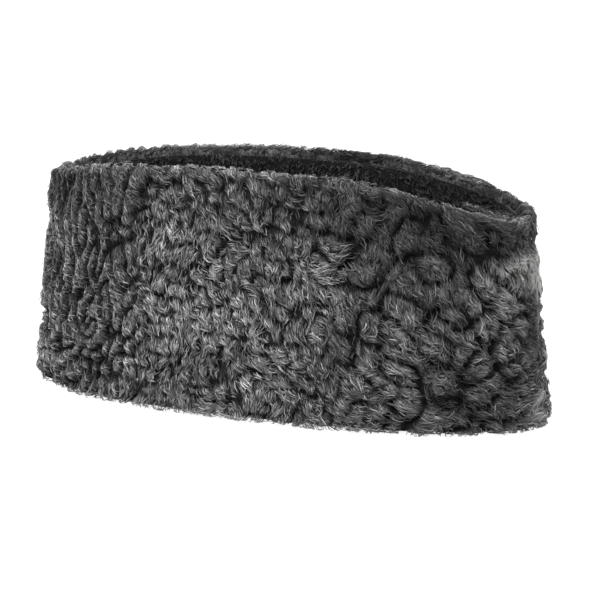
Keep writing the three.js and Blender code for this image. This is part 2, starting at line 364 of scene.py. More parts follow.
def side_point(cap, angle, rise):
    """The side's outer face over the curls, from the hem at rise 0 to the ridge at rise 1."""
    hem_x, hem_y = oval(angle, cap.hem_length, cap.hem_width, HEM_SQUARENESS, HEM_FLARE)
    ridge_x, ridge_y = oval(angle, cap.ridge_length, cap.ridge_width, RIDGE_SQUARENESS, RIDGE_FLARE)
    height = rise * ridge_height(cap, ridge_x)
    x = hem_x + (ridge_x - hem_x) * rise
    y = hem_y + (ridge_y - hem_y) * rise
    swell = 1 + cap.bulge * 4 * rise * (1 - rise) / np.hypot(x, y)
    return np.stack((x, y * swell, height), axis=-1)


def outward(cap, angle, rise):
    """The level direction that faces out of the side."""
    step = 0.004
    along = side_point(cap, angle + step, rise) - side_point(cap, angle - step, rise)
    out = np.stack((along[..., 1], -along[..., 0], np.zeros_like(along[..., 0])), axis=-1)
    return out / np.linalg.norm(out, axis=-1, keepdims=True)


class Track:
    """Where the side lies at an even distance from the back seam, half way up."""

    def __init__(self, cap):
        self.turn = np.linspace(-TRACK_OVERRUN, math.pi + TRACK_OVERRUN, TRACK_STEPS)
        points = side_point(cap, math.pi + self.turn, np.full_like(self.turn, 0.5))
        steps = np.linalg.norm(np.diff(points, axis=0), axis=1)
        run = np.concatenate(([0], np.cumsum(steps)))
        self.run = run - np.interp(0, self.turn, run)
        self.length = np.interp(math.pi, self.turn, self.run)

    def angle_at(self, side, distance):
        """The turn round the cap on one side of it, at a distance from the back seam."""
        return math.pi - side * np.interp(distance, self.run, self.turn)


def side_surface(cap, track, side, x, y):
    """The crests' surface of a side panel: x from the back seam, y up from the hem and then over
    the rounded ridge."""
    angle = track.angle_at(side, x)
    foot = side_point(cap, angle, np.ones_like(angle))
    rise = np.clip(y / foot[..., 2], 0, 1)
    face = side_point(cap, angle, rise)
    radius = cap.side_thickness / 2
    tilt = np.clip((y - foot[..., 2]) / radius, 0, math.pi)[..., None]
    top = outward(cap, angle, np.ones_like(angle))
    over = foot + top * (radius * (np.cos(tilt) - 1))
    over[..., 2:] += radius * np.sin(tilt)
    point = np.where(tilt > 0, over, face)
    point[..., 1] += side * cap.seam_gap / 2
    return point


def ridge_level(cap, track, side, x):
    """Where the rounded ridge starts, up a side's chart."""
    angle = track.angle_at(side, x)
    return side_point(cap, angle, np.ones_like(angle))[..., 2]


def crown_edge(cap, angle):
    edge = side_point(cap, angle, np.ones_like(angle))
    edge -= outward(cap, angle, np.ones_like(angle)) * (cap.side_thickness + cap.seam_gap)
    edge[..., 2] -= cap.crown_inset
    return edge


def valley_floor(cap, edge):
    """The floor's point below a point of the crown's edge."""
    ends = [abs(crown_edge(cap, np.array([a]))[0, 0]) for a in (0.0, math.pi)]
    front = edge[..., 0] > 0
    end = np.where(front, *ends)
    shelf = np.where(front, cap.shelf_front, cap.shelf_back)
    share = np.clip(np.abs(edge[..., 0]) / end, 0, 1)
    x = edge[..., 0] * (1 - shelf / end)
    level = ridge_height(cap, x) - cap.crown_inset
    z = level - cap.valley_depth * (1 - share ** VALLEY_END_POWER)
    return np.stack((x, np.zeros_like(x), z), axis=-1)


def crown_surface(cap, track, side, x, fall):
    """The crests' surface of the crown: x as on the side beside it, fall from its edge at 0 to the
    valley's floor at 1."""
    edge = crown_edge(cap, track.angle_at(side, x))
    floor = valley_floor(cap, edge)
    fall = np.asarray(fall)[..., None]
    point = edge + (floor - edge) * fall
    slope = (fall + smooth(fall)) / 2
    point[..., 2:] = edge[..., 2:] + (floor[..., 2:] - edge[..., 2:]) * slope
    return point


def read_between(field, column, row, shaped):
    """A field of numbers between its rows and columns, straight or shaped by smooth."""
    column = np.clip(column, 0, field.shape[1] - FIELD_END)
    row = np.clip(row, 0, field.shape[0] - FIELD_END)
    i, j = row.astype(int), column.astype(int)
    down, across = row - i, column - j
    if shaped:
        down, across = smooth(down), smooth(across)
    low = field[i, j] * (1 - across) + field[i, j + 1] * across
    high = field[i + 1, j] * (1 - across) + field[i + 1, j + 1] * across
    return low * (1 - down) + high * down


def wander(rng, length, height, pitch, x, y):
    """A smooth random field over a chart, from about -1 to 1."""
    extra = 2 * FIELD_MARGIN + 2
    knots = rng.uniform(-1, 1, (int(height / pitch) + extra, int(length / pitch) + extra))
    return read_between(knots, x / pitch + FIELD_MARGIN, y / pitch + FIELD_MARGIN, True)


class Pelt:
    """One panel's fleece, charted on a flat sheet in metres that is laid over the cap.

    place lays points of the chart over the cap, and facing turns their normals outwards. brim is
    the level where the panel turns over at the ridge. Above the level thin the locks stand further
    apart, and below the level broken the ribs at the back break up.
    """

    cell = 0.5 * MM
    edge = 12 * MM

    def __init__(self, stretches, length, height, place, brim, facing, tufts, thin, broken, rng):
        self.length, self.height = length, height
        self.place, self.brim, self.facing = place, brim, facing
        x, y = np.meshgrid(np.arange(-self.edge, length + self.edge, self.cell),
                           np.arange(-self.edge, height + self.edge, self.cell))
        border = wander(rng, length, height, BORDER_PITCH, x, y)
        drift = wander(rng, length, height, DRIFT_PITCH, x, y)
        ripple = wander(rng, length, height, RIPPLE_PITCH, x, y)
        lean = LEAN * (y - height / 2) * LEAN_FADE.at(x / length)
        share = (x + BORDER_REACH * border + lean) / length
        trait = {key: self.blended(stretches, key, share, BLEND) for key in Stretch._fields}
        trait["light"] = self.blended(stretches, "light", share, LIGHT_BLEND)
        trait["spread"] += RIB_BREAK.at(broken - y) * (1 - RIBS_END.at(share))
        trait["gap"] *= 1 + THIN_FADE.at(y - thin)
        self.traits = trait
        way = trait["flow"] + trait["turn"] * (DRIFT_SHARE * drift + RIPPLE_SHARE * ripple)
        self.pale = np.zeros_like(way)
        for tuft in tufts:
            off = ((length - x) / MM - tuft.back) / tuft.along
            near = np.exp(-off ** 2 - ((y / MM - tuft.level) / tuft.up) ** 2)
            way += near * (tuft.way - way)
            for key, change in TUFT_CHANGES.items():
                trait[key] *= 1 + change * near
            self.pale += near * tuft.pale
        self.flow = np.radians(way)
        self.rolls = self.raise_rolls(rng)
        self.curl = CURL_REACH * wander(rng, length, height, CURL_PITCH, x, y)
        self.tone = wander(rng, length, height, TONE_PITCH, x, y)

    @staticmethod
    def blended(stretches, key, share, blend):
        value = np.full(share.shape, float(getattr(stretches[0], key)))
        for before, after in zip(stretches, stretches[1:]):
            weight = smooth((share - before.until) / blend + 0.5)
            value += weight * (getattr(after, key) - getattr(before, key))
        return value

    def raise_rolls(self, rng):
        """Rolls of wool, from 0 in the creases between them to 1 on their crests: a sum of short
        trains of waves, folded up where it is negative."""
        field = np.zeros_like(self.flow)
        wide, long = self.traits["roll"] * MM, self.traits["run"] * MM
        spots = np.argwhere(rng.random(field.shape) < TRAIN_COVER * self.cell ** 2 / (wide * long))
        at = tuple(spots.T)
        wide, long = wide[at], long[at]
        stray = rng.normal(0, 1, len(spots)) * self.traits["spread"][at]
        angle = np.radians(self.traits["cross"][at] + stray)
        pitch = 2 * wide * rng.uniform(*TRAIN_PITCHES, len(spots))
        phase = rng.uniform(0, 2 * math.pi, len(spots))
        trains = zip(spots, angle, TRAIN_WIDE * wide, TRAIN_LONG * long, pitch, phase)
        for (i, j), turn, a, b, step, start in trains:
            reach = int(TRAIN_REACH * max(a, b) / self.cell)
            i0, i1 = max(i - reach, 0), min(i + reach, field.shape[0])
            j0, j1 = max(j - reach, 0), min(j + reach, field.shape[1])
            dy = (np.arange(i0, i1)[:, None] - i) * self.cell
            dx = (np.arange(j0, j1)[None, :] - j) * self.cell
            u = dx * math.cos(turn) + dy * math.sin(turn)
            v = dy * math.cos(turn) - dx * math.sin(turn)
            bell = np.exp(-(u / a) ** 2 - (v / b) ** 2)
            field[i0:i1, j0:j1] += bell * np.cos(2 * math.pi * u / step + start)
        field /= field.std()
        return np.minimum(np.abs(field) / CREST_LEVEL, 1) ** self.traits["round"]

    def read(self, field, x, y):
        return read_between(field, (x + self.edge) / self.cell, (y + self.edge) / self.cell, False)

    def trait(self, key, x, y):
        return self.read(self.traits[key], x, y)

    def from_seam(self, x):
        """Distance from the nearer seam."""
        return np.minimum(x, self.length - x)

    def past_brim(self, x, y):
        return y - self.brim(x)

    def roll_at(self, x, y):
        """Height of the rolls as a share, which fades towards both seams and evens at the ridge."""
        level = self.read(self.rolls, x, y) * (SEAM_SINK + SEAM_FADE.at(self.from_seam(x)))
        even = self.trait("even", x, y)
        return level + (1 - level) * even * EVEN_FADE.at(self.past_brim(x, y))

    def relief_at(self, x, y):
        """Height of the rolls over the creases, in metres."""
        return self.roll_at(x, y) * self.trait("rise", x, y) * MM

    def ease(self, x, y):
        """How deep the fleece is as a share: less where the panel turns over at its ridge."""
        return 1 + BRIM_EASE.at(self.past_brim(x, y))

    def lay(self, x, y, up):
        """Points at the height up over the crests' surface, and that surface's normals."""
        step = 0.15 * MM
        point = self.place(x, y)
        along = self.place(x + step, y) - self.place(x - step, y)
        rise = self.place(x, y + step) - self.place(x, y - step)
        normal = np.cross(along, rise) * self.facing
        normal /= np.maximum(np.linalg.norm(normal, axis=-1, keepdims=True), 1e-12)
        return point + normal * up[..., None], normal


def scatter_locks(pelt, top, rng):
    """Chart places of the locks, no two nearer than the gap there. Only a pale tuft hangs over a
    seam."""
    x = rng.uniform(-SEAM_OVERHANG, pelt.length + TUFT_OVERHANG, LOCK_TRIES)
    y = rng.uniform(0, 1, LOCK_TRIES) * (top(x) + TOP_OVERHANG)
    gap = pelt.trait("gap", x, y) * MM * rng.uniform(*LOCK_GAPS, LOCK_TRIES)
    cell, margin = 0.25 * MM, 40
    column, row = (x / cell).astype(int) + margin, (y / cell).astype(int) + margin
    taken = np.zeros((row.max() + margin, column.max() + margin), dtype=bool)
    kept = []
    for k in range(LOCK_TRIES):
        i, j = row[k], column[k]
        if taken[i, j]:
            continue
        reach = int(gap[k] / cell)
        ring = np.arange(-reach, reach + 1)
        near = ring[:, None] ** 2 + ring[None, :] ** 2 < (gap[k] / cell) ** 2
        taken[i - reach:i + reach + 1, j - reach:j + reach + 1] |= near
        kept.append(k)
    x, y = x[kept], y[kept]
    own = (x < pelt.length + SEAM_OVERHANG) | (pelt.read(pelt.pale, x, y) > TUFT_EDGE)
    return x[own], y[own]


def climb(pelt, x, y):
    """Draws the locks' middles up onto the rolls, as far as each stretch says."""
    step = 0.3 * MM
    far = pelt.trait("hug", x, y)
    for _ in range(CLIMB_STEPS):
        slope_x = pelt.roll_at(x + step, y) - pelt.roll_at(x - step, y)
        slope_y = pelt.roll_at(x, y + step) - pelt.roll_at(x, y - step)
        steep = np.maximum(np.hypot(slope_x, slope_y), CLIMB_FLAT)
        x = x + far / CLIMB_STEPS * MM * slope_x / steep
        y = y + far / CLIMB_STEPS * MM * slope_y / steep
    return x, y


def shape_locks(pelt, x, y, rng):
    """Length, width, heading and bend of each lock."""
    count = len(x)
    size = rng.uniform(*LOCK_SIZES, count)
    long = pelt.trait("long", x, y) * MM * size
    wide = pelt.trait("wide", x, y) * MM * size
    stray = np.radians(pelt.trait("stray", x, y))
    point = pelt.read(pelt.flow, x, y) + stray * rng.normal(0, 1, count)
    curl = pelt.read(pelt.curl, x, y) + rng.normal(0, BEND_STRAY, count)
    bend = np.radians(pelt.trait("bend", x, y)) * np.clip(curl, -BEND_MOST, BEND_MOST)
    return np.stack((x, y, long, wide, point, bend))


def loose_locks(pelt, top, count, rng):
    """Strands in threes, which lie over the locks in ways of their own."""
    x = rng.uniform(0, pelt.length, count)
    y = rng.uniform(0, 1, count) * top(x)
    long = rng.uniform(*LOOSE_LONG, count) * MM
    wide = rng.uniform(*LOOSE_WIDE, count) * MM
    point = pelt.read(pelt.flow, x, y) + np.radians(LOOSE_STRAY) * rng.normal(0, 1, count)
    bend = np.radians(LOOSE_BEND) * rng.normal(0, 1, count)
    return np.stack((x, y, long, wide, point, bend))


def hem_locks(pelt, rng):
    """Small hooked curls that hang over the hem."""
    x = np.arange(0, pelt.length, HEM_CURL_GAP)
    count = len(x)
    x = x + rng.uniform(-1, 1, count) * HEM_CURL_SHIFT
    y = rng.uniform(*HEM_CURL_LEVEL, count) * MM
    long = rng.uniform(*HEM_CURL_LONG, count) * MM
    wide = rng.uniform(*HEM_CURL_WIDE, count) * MM
    point = np.radians(rng.normal(HEM_CURL_WAY, HEM_CURL_STRAY, count))
    bend = np.radians(rng.choice((-1, 1), count) * rng.uniform(*HEM_CURL_BEND, count))
    return np.stack((x, y, long, wide, point, bend))


def comb_locks(locks, density, rng):
    """The strands of the locks: chart places, share of the way from root to tip, share of the way
    across the lock, and each strand's lock."""
    x, y, long, wide, point, bend = locks
    fine = np.linspace(0, 1, LOCK_STEPS + 1)
    head = point[:, None] + bend[:, None] * (fine ** TURN_POWER - TURN_MIDDLE)
    step = long[:, None] / LOCK_STEPS
    run_x = np.cumsum(np.cos(head) * step, axis=1)
    run_y = np.cumsum(np.sin(head) * step, axis=1)
    run_x += x[:, None] - run_x.mean(axis=1, keepdims=True)
    run_y += y[:, None] - run_y.mean(axis=1, keepdims=True)

    share_out = np.maximum(FEWEST_STRANDS, (density * long * wide / MM ** 2)).astype(int)
    lock = np.repeat(np.arange(len(x)), share_out)
    strands = len(lock)
    span = rng.uniform(*STRAND_SPANS, strands)
    start = rng.uniform(0, 1, strands) * (1 - span)
    way = np.linspace(0, 1, STRAND_POINTS)[None, :]
    t = start[:, None] + span[:, None] * way
    at = t * LOCK_STEPS
    low = np.minimum(at.astype(int), LOCK_STEPS - 1)
    share = at - low
    row = lock[:, None]

    def along(field):
        return field[row, low] * (1 - share) + field[row, low + 1] * share

    turned = along(head)
    across = rng.uniform(-1, 1, strands)
    wisp = (np.round(across * WISPS) / WISPS + rng.normal(0, WISP_STRAY, strands))[:, None]
    s = across[:, None] + (wisp - across[:, None]) * WISP_DRAW * t ** 2
    shape = ROOT_WIDTH + TIP_FADE.at(t)
    length = (span * long[lock])[:, None]
    bow = rng.normal(0, BOW, (strands, 1)) * 4 * way * (1 - way)
    wave = rng.normal(0, WAVE, (strands, 1)) * np.sin(2 * math.pi * way)
    aside = s * shape * wide[row] / 2 + (bow + wave) * length
    return along(run_x) - np.sin(turned) * aside, along(run_y) + np.cos(turned) * aside, t, s, lock


def lift_strands(pelt, x, y, t, s, rng):
    """How high over the skin each strand's points lie, and the painted shade at each: dark in the
    creases, at the root, at a lock's edge and in the lower layer, and lit towards the tip.
    """
    count = len(x)
    layer = rng.uniform(-1, 1, (count, 1))
    rise = smooth(t / ROOT_RISE) * (1 + TIP_SINK.at(t))
    dome = np.sqrt(1 - DOME * np.clip(s * s, 0, 1))
    up = pelt.relief_at(x, y) + pelt.trait("high", x, y) * MM * rise * dome + LAYER_HEIGHT * layer
    up -= ROOT_DEPTH * (1 - smooth(t / ROOT_FADE))
    up += FLYAWAY * rng.random((count, 1)) ** FLYAWAY_POWER * t
    ridge = RIDGE_FADE.at(pelt.past_brim(x, y))
    up += RIDGE_FLYAWAY * ridge * rng.random((count, 1)) ** RIDGE_FLYAWAY_POWER * t
    up += RIDGE_LUMP * ridge * np.maximum(pelt.read(pelt.curl, x, y) + RIDGE_LUMP_BASE, 0)
    # Painted shade: darker in the creases between the rolls, at the root, at a lock's edge and in
    # the lower layer; painted light towards the tip
    painted_light_and_tone = 1 - pelt.trait("groove", x, y) * (1 - pelt.roll_at(x, y))
    painted_light_and_tone = painted_light_and_tone * (ROOT_PAINTED_SHADE + TIP_PAINTED_LIGHT.at(t)) * (LOCK_EDGE_PAINTED_SHADE + DOME_PAINTED_LIGHT * dome)
    painted_light_and_tone *= LAYER_PAINTED_SHADE + LAYER_VARIES * layer
    return up, np.clip(painted_light_and_tone, 0, 1)


def strand_faces(points):
    """The faces of one strand, three-sided and closed at both ends, and each corner's place on the
    map: how far round the strand, and how many points along it."""
    rings = points - 2
    tip = 1 + 3 * rings
    last = tip - 3
    faces, where = [], []
    for k in range(3):
        n = (k + 1) % 3
        faces.append((0, 1 + n, 1 + k))
        where.append(((k + 0.5, 0), (k + 1, 1), (k, 1)))
        for r in range(rings - 1):
            low, high = 1 + 3 * r, 4 + 3 * r
            faces.append((low + k, low + n, high + n))
            where.append(((k, r + 1), (k + 1, r + 1), (k + 1, r + 2)))
            faces.append((low + k, high + n, high + k))
            where.append(((k, r + 1), (k + 1, r + 2), (k, r + 2)))
        faces.append((last + k, last + n, tip))
        where.append(((k, rings), (k + 1, rings), (k + 0.5, points - 1)))
    return np.array(faces), np.array(where, dtype=float)


def strand_mesh(name, paths, normals, width, shade, depth):
    """One mesh of strands that taper to both ends. Its map holds the strand's own shade across, and
    up it the painted light and shade along it, with the pale tufts' tone."""
    count, points, _ = paths.shape
    tangent = np.gradient(paths, axis=1)
    tangent /= np.maximum(np.linalg.norm(tangent, axis=2, keepdims=True), 1e-12)
    side = np.cross(tangent, normals)
    side /= np.maximum(np.linalg.norm(side, axis=2, keepdims=True), 1e-12)
    over = np.cross(side, tangent)
    t = np.linspace(0, 1, points)
    taper = TAPER_SLOPE * np.minimum(t + TAPER_ROOT, 1 - t) + TAPER_LEAST
    taper = np.minimum(1, taper)[None, 1:-1, None, None]
    corner = np.array(STRAND_CORNERS) * math.pi / 180
    flat = STRAND_FLATNESS * np.sin(corner)
    ring = (np.cos(corner)[None, None, :, None] * side[:, 1:-1, None]
            + flat[None, None, :, None] * over[:, 1:-1, None])
    ring = paths[:, 1:-1, None] + ring * taper * (width / 2)[:, None, None, None]
    ring = ring.reshape(count, 3 * (points - 2), 3)
    verts = np.concatenate((paths[:, :1], ring, paths[:, -1:]), axis=1)
    each = verts.shape[1]
    faces, where = strand_faces(points)
    index = (faces[None] + each * np.arange(count)[:, None, None]).reshape(-1)
    mesh = bpy.data.meshes.new(name)
    mesh.vertices.add(count * each)
    mesh.vertices.foreach_set("co", verts.reshape(-1).astype(np.float32))
    mesh.loops.add(len(index))
    mesh.loops.foreach_set("vertex_index", index.astype(np.int32))
    mesh.polygons.add(len(index) // 3)
    mesh.polygons.foreach_set("loop_start", np.arange(0, len(index), 3, dtype=np.int32))
    mesh.polygons.foreach_set("use_smooth", np.ones(len(index) // 3, dtype=bool))
    u = shade[:, None, None] * (1 - MAP_WIDTH) + where[None, ..., 0] / 3 * MAP_WIDTH
    v = MAP_EDGE + (1 - 2 * MAP_EDGE) * depth[:, where[..., 1].astype(int)]
    layer = mesh.uv_layers.new(name="OFBake")
    layer.data.foreach_set("uv", np.stack((u, v), axis=-1).reshape(-1).astype(np.float32))
    mesh.update()
    mesh.validate()
    return mesh


def new_material(name):
    material = bpy.data.materials.new(name)
    material.use_nodes = True
    tree = material.node_tree
    return material, tree, tree.nodes["Principled BSDF"]


def ramp(tree, stops):
    node = tree.nodes.new("ShaderNodeValToRGB")
    elements = node.color_ramp.elements
    while len(elements) < len(stops):
        elements.new(0.5)
    for element, (position, colour) in zip(elements, stops):
        element.position = position
        element.color = (*colour, 1)
    return node


def grey_ramp(tree, stops):
    return ramp(tree, [(position, (grey,) * 3) for position, grey in stops])


def darken(tree, colour, shade, shader):
    """Gives the shader the colour, multiplied by the painted light and shade."""
    mix = tree.nodes.new("ShaderNodeMix")
    mix.data_type = "RGBA"
    mix.blend_type = "MULTIPLY"
    mix.inputs["Factor"].default_value = 1
    tree.links.new(colour.outputs["Color"], mix.inputs["A"])
    tree.links.new(shade.outputs["Color"], mix.inputs["B"])
    tree.links.new(mix.outputs["Result"], shader.inputs["Base Color"])


def wool_material(colours):
    """Strands: each has its own shade, times painted shade: dark at its root and in the creases, lit
    at its tip.
    """
    if "curled wool" in bpy.data.materials:
        return bpy.data.materials["curled wool"]
    material, tree, shader = new_material("curled wool")
    place = tree.nodes.new("ShaderNodeUVMap")
    place.uv_map = "OFBake"
    split = tree.nodes.new("ShaderNodeSeparateXYZ")
    shade = ramp(tree, ((0.0, colours.dark), (0.45, colours.mid), (0.85, colours.light),
                        (0.93, colours.pale)))
    # Up the map: painted shade, dark low down and above 1 where it stands in for light
    depth = grey_ramp(tree, ((0.0, 0.06), (0.3, 0.36), (0.6, 0.9), (1.0, 1.45)))
    tree.links.new(place.outputs["UV"], split.inputs["Vector"])
    tree.links.new(split.outputs["X"], shade.inputs["Fac"])
    tree.links.new(split.outputs["Y"], depth.inputs["Fac"])
    darken(tree, shade, depth, shader)
    shader.inputs["Roughness"].default_value = 0.55
    shader.inputs["Specular IOR Level"].default_value = 0.2
    return material


def pelt_material(colours):
    """The dense underwool between the strands, with painted shade in the creases, and the inside."""
    if "underwool" in bpy.data.materials:
        return bpy.data.materials["underwool"]
    material, tree, shader = new_material("underwool")
    place = tree.nodes.new("ShaderNodeTexCoord")
    stretch = tree.nodes.new("ShaderNodeMapping")
    stretch.inputs["Scale"].default_value = (1500, 1500, 420)
    noise = tree.nodes.new("ShaderNodeTexNoise")
    noise.inputs["Scale"].default_value = 1
    noise.inputs["Detail"].default_value = 3
    noise.inputs["Distortion"].default_value = 1.2
    # The underwool's darkest is darker than any strand: partly its own dark undercoat, partly
    # painted shade between the strands
    darkest = tuple(0.6 * part for part in colours.dark)
    tone = ramp(tree, ((0.38, darkest), (0.68, colours.mid)))
    # The painted shade that each vertex keeps
    height = tree.nodes.new("ShaderNodeAttribute")
    height.attribute_name = "depth"
    painted_shade_ramp = grey_ramp(tree, ((0.0, 0.04), (0.45, 0.25), (1.0, 1.0)))
    bump = tree.nodes.new("ShaderNodeBump")
    bump.inputs["Strength"].default_value = 1
    bump.inputs["Distance"].default_value = 0.6 * MM
    tree.links.new(place.outputs["Object"], stretch.inputs["Vector"])
    tree.links.new(stretch.outputs["Vector"], noise.inputs["Vector"])
    tree.links.new(noise.outputs["Fac"], tone.inputs["Fac"])
    tree.links.new(noise.outputs["Fac"], bump.inputs["Height"])
    tree.links.new(height.outputs["Fac"], painted_shade_ramp.inputs["Fac"])
    darken(tree, tone, painted_shade_ramp, shader)
    tree.links.new(bump.outputs["Normal"], shader.inputs["Normal"])
    shader.inputs["Roughness"].default_value = 0.9
    shader.inputs["Specular IOR Level"].default_value = 0.1
    return material


def start_grid(name, columns, rows):
    """A fresh grid of vertices with nothing else selected, and its vertices' shares of both ways."""
    bpy.ops.object.select_all(action="DESELECT")
    bpy.ops.mesh.primitive_grid_add(x_subdivisions=columns, y_subdivisions=rows, size=2,
                                    calc_uvs=False, location=(0, 0, 0))
    piece = bpy.context.object
    piece.name = name
    piece.data.name = name
    flat = np.empty(len(piece.data.vertices) * 3, dtype=np.float32)
    piece.data.vertices.foreach_get("co", flat)
    flat = flat.reshape(-1, 3).astype(float)
    return piece, (flat[:, 0] + 1) / 2, (flat[:, 1] + 1) / 2


def shape_grid(piece, places, depth):
    """Moves the grid's vertices to their places, and keeps at each the painted shade there, for the
    colour."""
    piece.data.vertices.foreach_set("co", places.reshape(-1).astype(np.float32))
    layer = piece.data.attributes.new("depth", "FLOAT", "POINT")
    layer.data.foreach_set("value", depth.astype(np.float32))
    piece.data.update()


def bridge_hem(piece, hem):
    """Joins the outer face and the inner face under a side panel."""
    bpy.ops.object.mode_set(mode="EDIT")
    bpy.ops.mesh.select_all(action="DESELECT")
    bpy.ops.object.mode_set(mode="OBJECT")
    for edge in piece.data.edges:
        edge.select = bool(hem[edge.vertices[0]] and hem[edge.vertices[1]])
    bpy.ops.object.mode_set(mode="EDIT")
    bpy.ops.mesh.select_mode(type="EDGE")
    bpy.ops.mesh.bridge_edge_loops()
    bpy.ops.mesh.select_mode(type="VERT")
    bpy.ops.object.mode_set(mode="OBJECT")


def join_edges():
    """Joins the crown's upper face and its under face, where their edges meet."""
    bpy.ops.object.mode_set(mode="EDIT")
    bpy.ops.mesh.select_all(action="SELECT")
    bpy.ops.mesh.remove_doubles(threshold=MERGE_DISTANCE)
    bpy.ops.object.mode_set(mode="OBJECT")


def close_ends():
    """Fills what is open at the ends of a panel, and turns its faces outwards."""
    bpy.ops.object.mode_set(mode="EDIT")
    bpy.ops.mesh.select_all(action="SELECT")
    bpy.ops.mesh.fill_holes(sides=0)
    bpy.ops.mesh.select_all(action="SELECT")
    bpy.ops.mesh.normals_make_consistent(inside=False)
    bpy.ops.object.mode_set(mode="OBJECT")
    bpy.ops.object.shade_smooth_by_angle(angle=math.radians(SMOOTH_ANGLE))


def side_pelt(cap, fur, track, pelt, side, name):
    """The side panel itself: its curled outer face, the rounded ridge and the plain inner face."""
    rows_out = int(pelt.height / fur.net_pitch)
    rows = rows_out + INNER_ROWS
    piece, u, v = start_grid(name, int(pelt.length / fur.net_pitch), rows)
    x = u * pelt.length
    full = pelt.brim(x) + math.pi * cap.side_thickness / 2
    share_out = rows_out / rows
    inside = v > share_out
    outer = np.clip(v / share_out, 0, 1) * full
    filled = PELT_CALM.at(full - outer) * pelt.ease(x, outer)
    filled *= 1 + PELT_FILL.at(pelt.past_brim(x, outer))
    filled *= PELT_SEAM_LEAST + PELT_SEAM.at(pelt.from_seam(x))
    up = (SIDE_RELIEF * pelt.relief_at(x, outer) - fur.side_pile) * filled
    up = np.where(outer < HEM_TUCK_LEVEL, up - HEM_TUCK, up)
    places, _ = pelt.lay(x, outer, up)
    down = np.clip((v - share_out) / (1 - share_out), 0, 1)
    angle = track.angle_at(side, x)
    inner = side_point(cap, angle, 1 - down) - outward(cap, angle, 1 - down) * cap.side_thickness
    inner[:, 1] += side * cap.seam_gap / 2
    places = np.where(inside[:, None], inner, places)
    near_edge = 0.2 / rows
    first, last = v < near_edge, v > 1 - near_edge
    places[first, 2] = fur.hem_lift
    places[last, 2] = INNER_HEM
    shape_grid(piece, places, np.where(inside, PLAIN_PAINTED_SHADE, pelt.roll_at(x, outer)))
    bridge_hem(piece, first | last)
    close_ends()
    return piece


def crown_pelt(cap, fur, track, charts):
    """The crown itself: its curled upper face and the plain under face."""
    rows = CROWN_ROWS_UP + CROWN_ROWS_UNDER
    columns = 2 * int(track.length / (CROWN_COLUMN_PITCH * fur.net_pitch))
    piece, u, v = start_grid("crown_pelt", columns, rows)
    side = np.where(u < 0.5, RIGHT, LEFT)
    x = np.where(u < 0.5, 2 * u, 2 - 2 * u) * track.length
    share_up = CROWN_ROWS_UP / rows
    fall = np.where(v < share_up, 1 - v / share_up, (v - share_up) / (1 - share_up))
    fall = np.clip(fall, 0, 1)
    places = np.empty((len(u), 3))
    depth = np.full(len(u), PLAIN_PAINTED_SHADE)
    for which, pelt in charts.items():
        here = side == which
        xs, f = x[here], fall[here]
        y = f * pelt.height
        calm = CROWN_EDGE_FADE.at(y) * CROWN_FLOOR_FADE.at((1 - f) * pelt.height)
        pile = (CROWN_RELIEF * pelt.relief_at(xs, y) - fur.crown_pile) * calm
        under = v[here] > share_up
        up = np.where(under, -cap.crown_thickness, pile)
        point, normal = pelt.lay(xs, y, np.zeros_like(up))
        blend = np.sin(math.pi * np.clip(f, 0, 1))[:, None]
        direction = np.array((0, 0, 1.0)) * (1 - blend) + normal * blend
        direction /= np.linalg.norm(direction, axis=1, keepdims=True)
        places[here] = point + direction * up[:, None]
        lit = pelt.roll_at(xs, y) * crown_gloom(pelt, xs, y)
        depth[here] = np.where(under, PLAIN_PAINTED_SHADE, lit)
    shape_grid(piece, places, depth)
    join_edges()
    close_ends()
    return piece


def finish_pelt(piece, colours, node):
    piece.data.materials.clear()
    piece.data.materials.append(pelt_material(colours))
    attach(piece, "root")
    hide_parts(node)


def side_chart(cap, track, side, rng):
    return Pelt(SIDE_STRETCHES, track.length, cap.height + math.pi * cap.side_thickness / 2,
                lambda x, y: side_surface(cap, track, side, x, y),
                lambda x: ridge_level(cap, track, side, x), -side,
                RIGHT_TUFTS if side == RIGHT else LEFT_TUFTS, math.inf, RIB_BREAK_LEVEL, rng)


def crown_chart(cap, track, side, rng):
    """Its level brim is out of reach, as the crown doesn't turn over at the ridge."""
    return Pelt(CROWN_STRETCHES, track.length, CROWN_DEPTH,
                lambda x, y: crown_surface(cap, track, side, x, y / CROWN_DEPTH),
                lambda x: 1 + 0 * x, -side, (), THIN_LEVEL, -math.inf, rng)


def side_painted_light(pelt, x, y):
    """The wool is a little darker towards the ridge, with a painted highlight on the ridge's top,
    painted shade by the hem, and dark painted shade down the inner face.
    """
    over = pelt.past_brim(x, y)
    inner = over + INNER_WANDER * pelt.read(pelt.curl, x, y)
    shade = 1 + TOWARDS_RIDGE.at(over) + RIDGE_TOP_HIGHLIGHT.at(over)
    shade -= HEM_PAINTED_SHADE * (1 - HEM_SHADE_FADE.at(y))
    return shade + INNER_FACE_SHADE.at(inner)


def crown_gloom(pelt, x, y):
    """How much light reaches down the valley's sides, and the shelf where it closes in front."""
    wall = VALLEY_EDGE + VALLEY_WALL.at(y) + VALLEY_DEEP.at(y)
    return wall + VALLEY_FRONT.at(x - pelt.length)


# The wool of one chart: the name of its pieces, how many strands, how broad they are, how deep the
# grooves are, how high up the chart it goes, its painted shade from place to place, and whether
# curls hang over its hem
Coat = namedtuple("Coat", "name strands broad pile slot top gloom hem")


